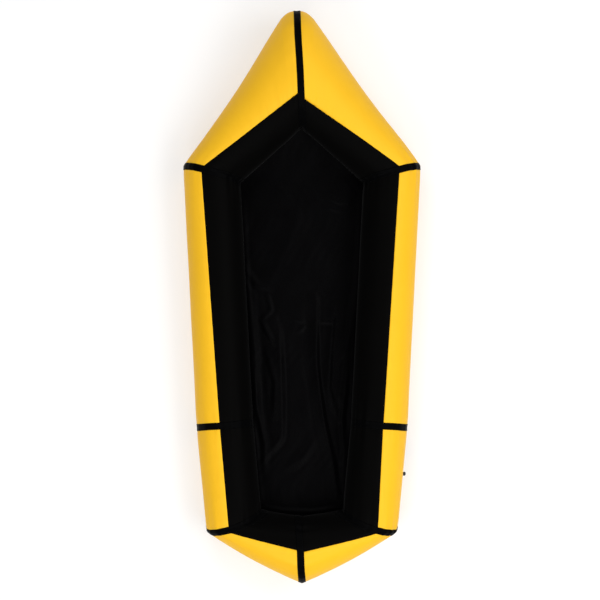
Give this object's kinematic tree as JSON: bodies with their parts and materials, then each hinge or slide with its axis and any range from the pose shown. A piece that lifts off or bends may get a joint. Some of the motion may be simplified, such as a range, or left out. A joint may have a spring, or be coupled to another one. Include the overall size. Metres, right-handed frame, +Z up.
{
  "type": "inflatable packraft kayak",
  "caption": "Open inflatable one-person packraft kayak: pointed air tube in mitred lengths with taped seams, fabric floor, screw-in main valve and twist top-up valve.",
  "frame": {"origin": "on the underside of the floor, on the centre line, midway between the bow tip and the stern tip", "axes": "+Y to the bow, +X to starboard, +Z up"},
  "size_m": [0.9572, 2.3014, 0.3731],
  "materials": {
    "yellow_tube_fabric": "satin coated nylon",
    "black_tube_fabric": "satin coated nylon",
    "seam_tape": "matt welded tape",
    "floor_fabric": "semi-gloss coated heavy nylon",
    "valve_plastic": "moulded, fine texture",
    "valve_moulding": "soft moulded",
    "seal_rubber": "smooth",
    "flap_silicone": "translucent silicone"
  },
  "bodies": {
    "hull": {"bottom_seam_strips": "seam_tape", "floor_band_bow_port": "seam_tape", "floor_band_bow_starboard": "seam_tape", "floor_band_quarter_port": "seam_tape", "floor_band_quarter_starboard": "seam_tape", "floor_band_side_port": "seam_tape", "floor_band_side_starboard": "seam_tape", "floor_band_stern_port": "seam_tape", "floor_band_stern_starboard": "seam_tape", "floor_bow_panel": "floor_fabric", "floor_panel": "floor_fabric", "floor_stern_panel": "floor_fabric", "inner_skin_bow_port": "black_tube_fabric", "inner_skin_bow_starboard": "black_tube_fabric", "inner_skin_quarter_port": "black_tube_fabric", "inner_skin_quarter_starboard": "black_tube_fabric", "inner_skin_side_port": "black_tube_fabric", "inner_skin_side_starboard": "black_tube_fabric", "inner_skin_stern_port": "black_tube_fabric", "inner_skin_stern_starboard": "black_tube_fabric", "outer_skin_bow_port": "yellow_tube_fabric", "outer_skin_bow_starboard": "yellow_tube_fabric", "outer_skin_quarter_port": "yellow_tube_fabric", "outer_skin_quarter_starboard": "yellow_tube_fabric", "outer_skin_side_port": "yellow_tube_fabric", "outer_skin_side_starboard": "yellow_tube_fabric", "outer_skin_stern_port": "yellow_tube_fabric", "outer_skin_stern_starboard": "yellow_tube_fabric", "tape_bow": "seam_tape", "tape_corner_port": "seam_tape", "tape_corner_starboard": "seam_tape", "tape_front_port": "seam_tape", "tape_front_starboard": "seam_tape", "tape_mid_port": "seam_tape", "tape_mid_starboard": "seam_tape", "tape_stern": "seam_tape", "top_seam_strips": "seam_tape", "topup_barrel": "valve_plastic", "topup_base": "valve_moulding", "topup_seal": "seal_rubber", "valve_base": "valve_moulding"},
    "insert_slider": {"insert_gasket": "seal_rubber"},
    "insert": {"valve_insert": "valve_plastic", "cap_tether": "valve_moulding"},
    "flap": {"valve_flap": "flap_silicone"},
    "cap_slider": {"cap_seal": "seal_rubber"},
    "cap": {"valve_cap": "valve_plastic"},
    "topup_lift": {"topup_plug": "valve_plastic"},
    "topup_mouth": {"topup_mouthpiece": "valve_plastic"}
  },
  "joints": [
    {"name": "insert_rise", "type": "slide", "parent": "hull", "child": "insert_slider", "axis": [0.7627, -0.0715, -0.6428], "range_m": [0, 0.008]},
    {"name": "insert_turn", "type": "hinge", "parent": "insert_slider", "child": "insert", "pos_m": [0.38848, -0.61511, 0.04192], "axis": [0.7627, -0.0715, -0.6428], "range_deg": [0, 720]},
    {"name": "flap_lift", "type": "slide", "parent": "insert", "child": "flap", "axis": [-0.7627, 0.0715, 0.6428], "range_m": [0, 0.0015], "stiffness_N_per_m": 60},
    {"name": "cap_rise", "type": "slide", "parent": "insert", "child": "cap_slider", "axis": [0.7627, -0.0715, -0.6428], "range_m": [0, 0.006], "deforming": ["cap_tether"]},
    {"name": "cap_turn", "type": "hinge", "parent": "cap_slider", "child": "cap", "pos_m": [0.39642, -0.61585, 0.03524], "axis": [0.7627, -0.0715, -0.6428], "range_deg": [0, 540]},
    {"name": "topup_rise", "type": "slide", "parent": "hull", "child": "topup_lift", "axis": [0.835, -0.0783, -0.5446], "range_m": [0, 0.003]},
    {"name": "topup_turn", "type": "hinge", "parent": "topup_lift", "child": "topup_mouth", "pos_m": [0.39679, -0.71048, 0.04734], "axis": [0.835, -0.0783, -0.5446], "range_deg": [0, 180]}
  ],
  "couplings": [
    {"joint": "insert_rise", "follows": "insert_turn", "m_per_rad": 0.00063662},
    {"joint": "cap_rise", "follows": "cap_turn", "m_per_rad": 0.00063662},
    {"joint": "topup_rise", "follows": "topup_turn", "m_per_rad": 0.00095493}
  ]
}
